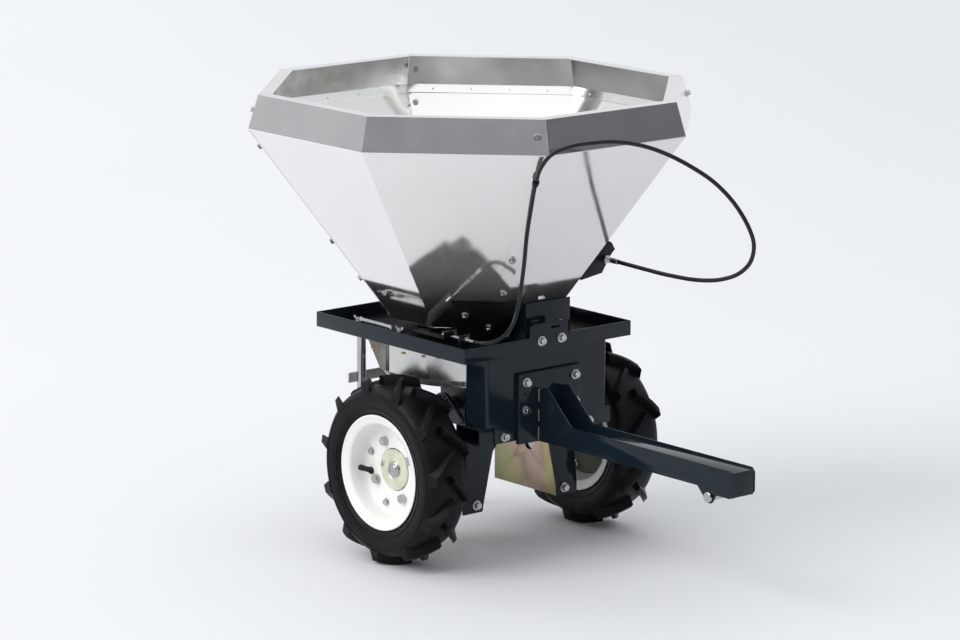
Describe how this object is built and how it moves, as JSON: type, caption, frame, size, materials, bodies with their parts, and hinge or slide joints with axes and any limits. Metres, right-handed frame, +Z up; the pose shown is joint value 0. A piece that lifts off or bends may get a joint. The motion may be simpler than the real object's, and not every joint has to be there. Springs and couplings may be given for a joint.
{
  "type": "garden spreader",
  "caption": "Towed broadcast spreader: octagonal steel hopper on a folded frame with two lugged wheels, ground-driven spinner disc, cable-worked shutter and tow bar.",
  "frame": {"origin": "on the ground, under the middle of the machine's overall length and width", "axes": "+X towards the tow bar (forward), +Y to the machine's left, +Z up"},
  "size_m": [1.2384, 0.8708, 0.938],
  "materials": {
    "hopper_stainless": "bright rolled stainless sheet",
    "frame_paint": "dark navy powder coat, semi-gloss",
    "bracket_paint": "black powder coat, satin",
    "rim_paint": "white paint, satin",
    "zinc_plate": "bright zinc plate",
    "yellow_zinc": "yellow passivated zinc plate, iridescent",
    "cast_iron": "oiled dark iron",
    "tyre_rubber": "matte black rubber",
    "cable_jacket": "smooth black plastic jacket"
  },
  "bodies": {
    "frame": {"axle_bearing_inner": "cast_iron", "axle_bearing_outer": "cast_iron", "bearing_plate_left": "yellow_zinc", "bearing_plate_right": "yellow_zinc", "cable_adjuster": "zinc_plate", "cable_anchor_bracket": "frame_paint", "cable_clip": "bracket_paint", "cable_end_bracket": "bracket_paint", "cable_end_fitting": "zinc_plate", "control_cable": "cable_jacket", "cross_member": "frame_paint", "drawbar_side_left": "frame_paint", "drawbar_side_right": "frame_paint", "drawbar_top_plate": "frame_paint", "drive_chain": "cast_iron", "front_frame": "frame_paint", "gearbox_arm": "frame_paint", "gearbox_housing": "cast_iron", "hitch_pin": "zinc_plate", "hitch_plate": "frame_paint", "hopper_band": "hopper_stainless", "hopper_bracket_front": "frame_paint", "hopper_bracket_front_right": "bracket_paint", "hopper_bracket_rear_left": "bracket_paint", "hopper_floor": "hopper_stainless", "hopper_sheet_front": "hopper_stainless", "hopper_sheet_left": "hopper_stainless", "hopper_sheet_rear": "hopper_stainless", "hopper_sheet_right": "hopper_stainless", "inner_bearing_plate": "frame_paint", "leg_left": "frame_paint", "leg_right": "frame_paint", "outlet_chute": "hopper_stainless", "setting_plate": "zinc_plate", "shutter_guide_left": "bracket_paint", "shutter_guide_right": "bracket_paint", "spinner_guard": "hopper_stainless", "stand_crossbar": "zinc_plate", "stand_post_left": "zinc_plate", "stand_post_right": "zinc_plate", "stub_axle": "zinc_plate", "tray": "frame_paint"},
    "right_wheel": {"tyre_right": "tyre_rubber", "rim_right": "rim_paint", "hub_right": "yellow_zinc", "drive_axle": "zinc_plate", "drive_sprocket": "cast_iron"},
    "left_wheel": {"tyre_left": "tyre_rubber", "rim_left": "rim_paint", "hub_left": "yellow_zinc"},
    "countershaft_set": {"countershaft": "zinc_plate", "driven_sprocket": "cast_iron", "bevel_gear": "cast_iron"},
    "spinner": {"bevel_pinion": "cast_iron", "spinner_shaft": "zinc_plate", "spinner_disc": "hopper_stainless", "agitator": "zinc_plate"},
    "shutter": {"shutter_plate": "hopper_stainless", "shutter_arm": "bracket_paint", "cable_inner_wire": "zinc_plate"}
  },
  "joints": [
    {"name": "right_wheel_spin", "type": "hinge", "parent": "frame", "child": "right_wheel", "pos_m": [-0.1168, -0.25815, 0.1917], "axis": [0, 1, 0], "continuous": true},
    {"name": "left_wheel_spin", "type": "hinge", "parent": "frame", "child": "left_wheel", "pos_m": [-0.1168, 0.25815, 0.1917], "axis": [0, 1, 0], "continuous": true},
    {"name": "countershaft_spin", "type": "hinge", "parent": "frame", "child": "countershaft_set", "pos_m": [-0.1838, -0.06, 0.285], "axis": [0, 1, 0], "continuous": true},
    {"name": "spinner_spin", "type": "hinge", "parent": "frame", "child": "spinner", "pos_m": [-0.1838, 0, 0.34], "axis": [0, 0, 1], "continuous": true},
    {"name": "shutter_slide", "type": "slide", "parent": "frame", "child": "shutter", "axis": [1, 0, 0], "range_m": [-0.045, 0]}
  ],
  "couplings": [
    {"joint": "countershaft_spin", "follows": "right_wheel_spin", "ratio": 2.5},
    {"joint": "spinner_spin", "follows": "right_wheel_spin", "ratio": 6.25}
  ]
}
